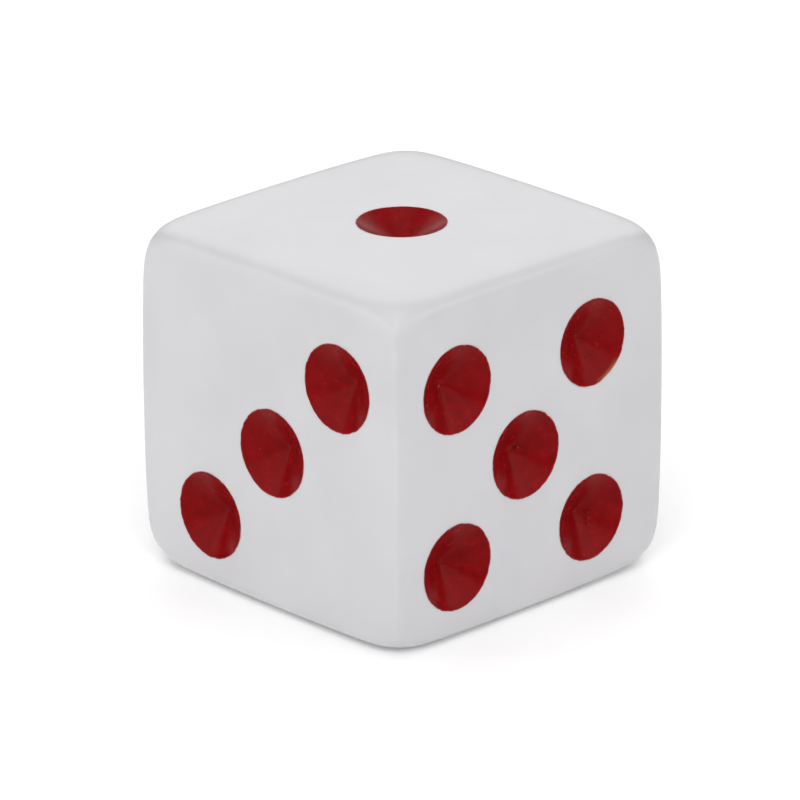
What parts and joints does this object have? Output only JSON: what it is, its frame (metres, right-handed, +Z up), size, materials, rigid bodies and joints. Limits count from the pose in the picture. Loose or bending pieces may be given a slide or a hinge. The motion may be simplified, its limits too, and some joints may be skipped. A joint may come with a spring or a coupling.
{
  "type": "six-sided die",
  "caption": "White moulded six-sided die with tumbled edges and corners, and red painted conical pips, for dice and board games.",
  "frame": {"origin": "middle of the bottom face, the one with six pips, on which the die rests", "axes": "+Z up through face 1; -Y out of face 3; +X out of face 5; +Y out of face 4; -X out of face 2"},
  "size_m": [0.016, 0.016, 0.0156],
  "materials": {
    "body_plastic": "white moulded plastic, tumbled to a satin gloss, slightly translucent",
    "pip_paint": "red enamel paint, satin gloss, pooled in the recesses"
  },
  "bodies": {
    "root": {"die_body": "body_plastic", "pip_1_centre": "pip_paint", "pip_2_lower_left": "pip_paint", "pip_2_upper_right": "pip_paint", "pip_3_lower_left": "pip_paint", "pip_3_centre": "pip_paint", "pip_3_upper_right": "pip_paint", "pip_4_lower_left": "pip_paint", "pip_4_lower_right": "pip_paint", "pip_4_upper_left": "pip_paint", "pip_4_upper_right": "pip_paint", "pip_5_lower_left": "pip_paint", "pip_5_lower_right": "pip_paint", "pip_5_centre": "pip_paint", "pip_5_upper_left": "pip_paint", "pip_5_upper_right": "pip_paint", "pip_6_back_left": "pip_paint", "pip_6_back_middle": "pip_paint", "pip_6_back_right": "pip_paint", "pip_6_front_left": "pip_paint", "pip_6_front_middle": "pip_paint", "pip_6_front_right": "pip_paint"}
  },
  "joints": []
}
